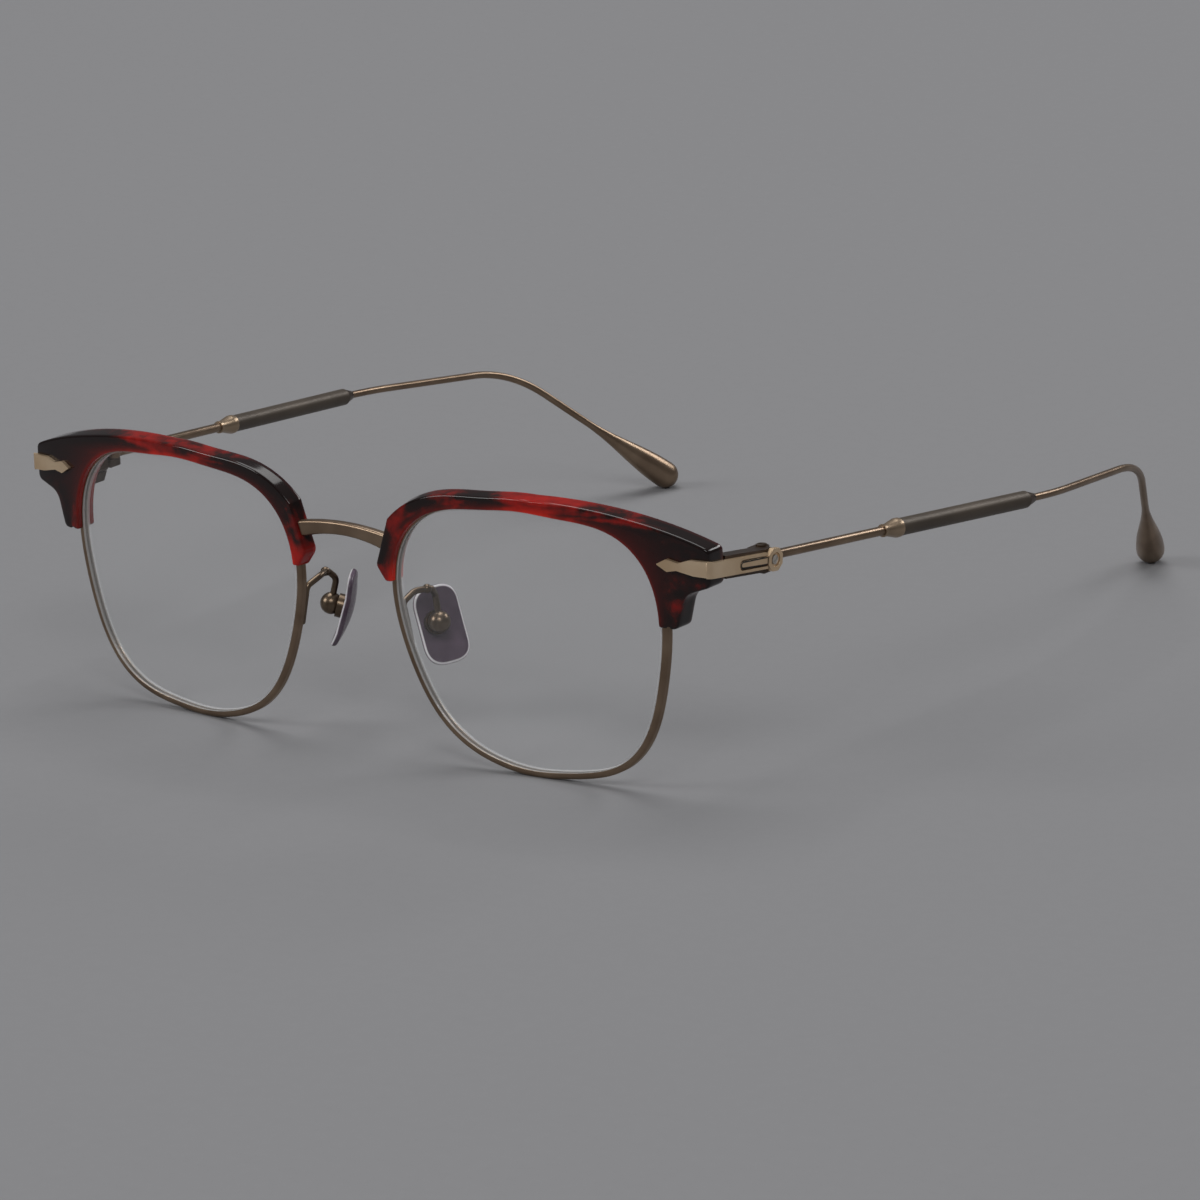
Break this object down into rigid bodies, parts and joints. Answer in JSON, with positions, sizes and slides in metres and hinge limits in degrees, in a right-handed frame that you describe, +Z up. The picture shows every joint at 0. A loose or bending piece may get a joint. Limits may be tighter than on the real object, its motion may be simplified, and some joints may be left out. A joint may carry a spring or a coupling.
{
  "type": "browline glasses",
  "caption": "Browline glasses with acetate brows over full metal eye-wires, folding round-rod temples with sleeves, and swivelling nose pads.",
  "frame": {"origin": "on the resting surface, in the middle between the two temples and halfway between the front of the brows and the temple tips", "axes": "+Z up from the surface on which the eye-wires and the temple tips rest, +Y from the front towards the temple tips, +X to the right as seen from in front"},
  "size_m": [0.1518, 0.1657, 0.0489],
  "materials": {
    "acetate": "polished tortoiseshell",
    "bronze": "antique bronze plating on nickel silver, satin",
    "bronze_bright": "antique bronze plating, worn bright",
    "dark_bronze": "dark bronze plating",
    "champagne": "champagne gold plating, satin",
    "steel": "bright",
    "sleeve": "matt dark brown",
    "lens": "clear, coated",
    "pad": "translucent silicone"
  },
  "bodies": {
    "front": {"brow_left": "acetate", "brow_right": "acetate", "eyewire_left": "bronze", "eyewire_right": "bronze", "lens_left": "lens", "lens_right": "lens", "endpiece_left": "champagne", "endpiece_right": "champagne", "cover_plate_left": "champagne", "cover_plate_right": "champagne", "cover_screw_left": "steel", "cover_screw_right": "steel", "hinge_block_left": "bronze", "hinge_block_right": "bronze", "hinge_screw_left": "bronze_bright", "hinge_screw_right": "bronze_bright", "rim_lock_left": "bronze", "rim_lock_right": "bronze", "lock_screw_left": "bronze_bright", "lock_screw_right": "bronze_bright", "pad_arm_left": "bronze", "pad_arm_right": "bronze", "bridge": "bronze"},
    "temple_left": {"temple_rod_left": "bronze", "collar_left": "champagne", "sleeve_left": "sleeve", "ferrule_left": "dark_bronze", "temple_tail_left": "bronze"},
    "temple_right": {"temple_rod_right": "bronze", "collar_right": "champagne", "sleeve_right": "sleeve", "ferrule_right": "dark_bronze", "temple_tail_right": "bronze"},
    "pad_left": {"pad_socket_left": "bronze_bright", "nose_pad_left": "pad"},
    "pad_right": {"pad_socket_right": "bronze_bright", "nose_pad_right": "pad"}
  },
  "joints": [
    {"name": "temple_right_fold", "type": "hinge", "parent": "front", "child": "temple_right", "pos_m": [0.06955, -0.05938, 0.03775], "axis": [0, 0, 1], "range_deg": [0, 90]},
    {"name": "temple_left_fold", "type": "hinge", "parent": "front", "child": "temple_left", "pos_m": [-0.06955, -0.05938, 0.03775], "axis": [0, 0, -1], "range_deg": [0, 85.5]},
    {"name": "pad_right_swivel", "type": "hinge", "parent": "front", "child": "pad_right", "pos_m": [0.0116, -0.0717, 0.0218], "axis": [-0.3174, 0.0565, 0.9466], "range_deg": [-12, 12]},
    {"name": "pad_left_swivel", "type": "hinge", "parent": "front", "child": "pad_left", "pos_m": [-0.0116, -0.0717, 0.0218], "axis": [0.3174, 0.0565, 0.9466], "range_deg": [-12, 12]}
  ]
}
